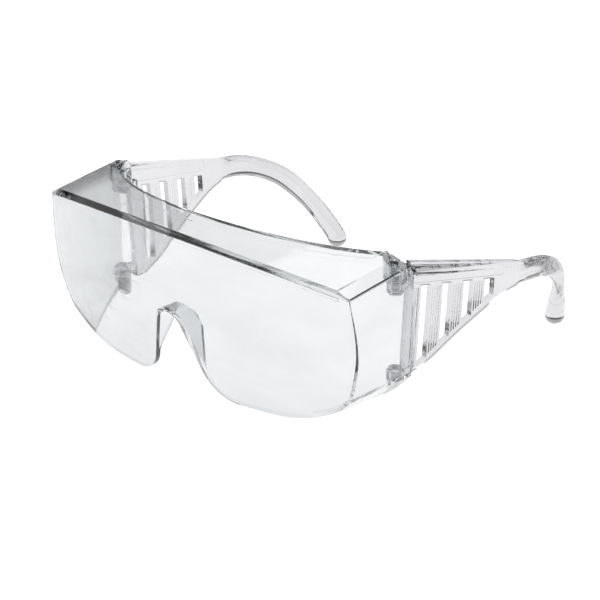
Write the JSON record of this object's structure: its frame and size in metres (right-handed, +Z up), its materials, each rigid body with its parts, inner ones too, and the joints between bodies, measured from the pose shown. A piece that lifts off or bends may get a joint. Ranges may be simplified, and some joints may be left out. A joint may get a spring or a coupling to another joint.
{
  "type": "safety glasses",
  "caption": "Clear wrap-round safety glasses worn over spectacles, with a brow guard, side panels, vented folding temples and ear hooks.",
  "frame": {"origin": "on the table under the middle of the glasses, in the symmetry plane, midway between the front of the lens and the rear of the ear hooks", "axes": "+Z up from the table, the wearer looks along -Y, +X is the wearer's left"},
  "size_m": [0.1586, 0.1585, 0.0688],
  "materials": {
    "front_polycarbonate": "polished",
    "temple_polycarbonate": "polished",
    "pin_plastic": "polished"
  },
  "bodies": {
    "front": {"front_shield": "front_polycarbonate", "upper_hinge_pins": "pin_plastic", "lower_hinge_pins": "pin_plastic"},
    "left_temple": {"temple_left": "temple_polycarbonate"},
    "right_temple": {"temple_right": "temple_polycarbonate"}
  },
  "joints": [
    {"name": "left_temple_hinge", "type": "hinge", "parent": "front", "child": "left_temple", "pos_m": [0.0708, -0.0295, 0.0325], "axis": [0, 0, 1], "range_deg": [0, 82]},
    {"name": "right_temple_hinge", "type": "hinge", "parent": "front", "child": "right_temple", "pos_m": [-0.0708, -0.0295, 0.0325], "axis": [0, 0, -1], "range_deg": [0, 90]}
  ]
}
